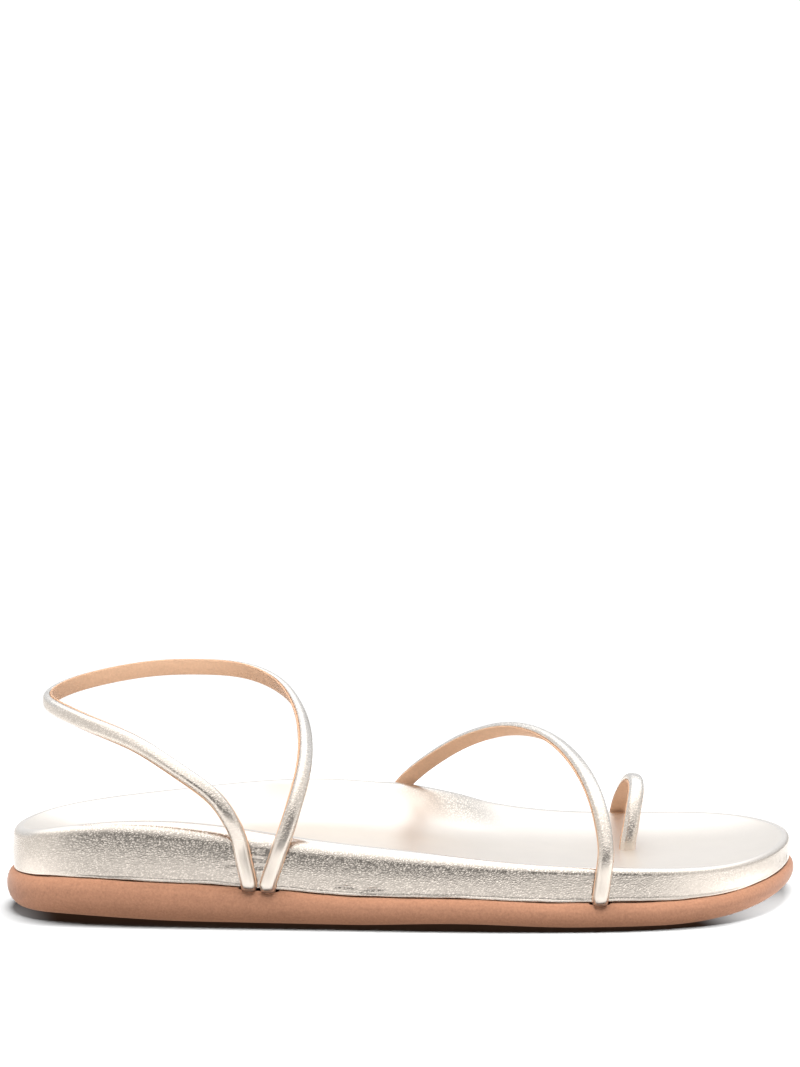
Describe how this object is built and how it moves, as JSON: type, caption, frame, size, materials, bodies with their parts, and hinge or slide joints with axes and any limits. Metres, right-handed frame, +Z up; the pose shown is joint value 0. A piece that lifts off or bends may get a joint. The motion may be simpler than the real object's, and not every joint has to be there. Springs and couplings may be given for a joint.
{
  "type": "footbed sandal",
  "caption": "Right-foot flat sandal: moulded metallic-leather footbed on a tan leather outsole, with a rolled ankle loop, diagonal instep strap and big-toe loop.",
  "frame": {"origin": "on the floor, under the middle of the sandal's box", "axes": "+X from heel to toe, +Y towards the inner side of the foot, +Z up"},
  "size_m": [0.2542, 0.0978, 0.0748],
  "materials": {
    "gold_leather": "pale gold metallic leather with a fine pressed grain, satin",
    "tan_leather": "matte tan leather, fine grain"
  },
  "bodies": {
    "root": {"outsole": "tan_leather", "footbed": "gold_leather", "ankle_strap": "gold_leather", "instep_strap": "gold_leather", "toe_loop": "gold_leather"}
  },
  "joints": []
}
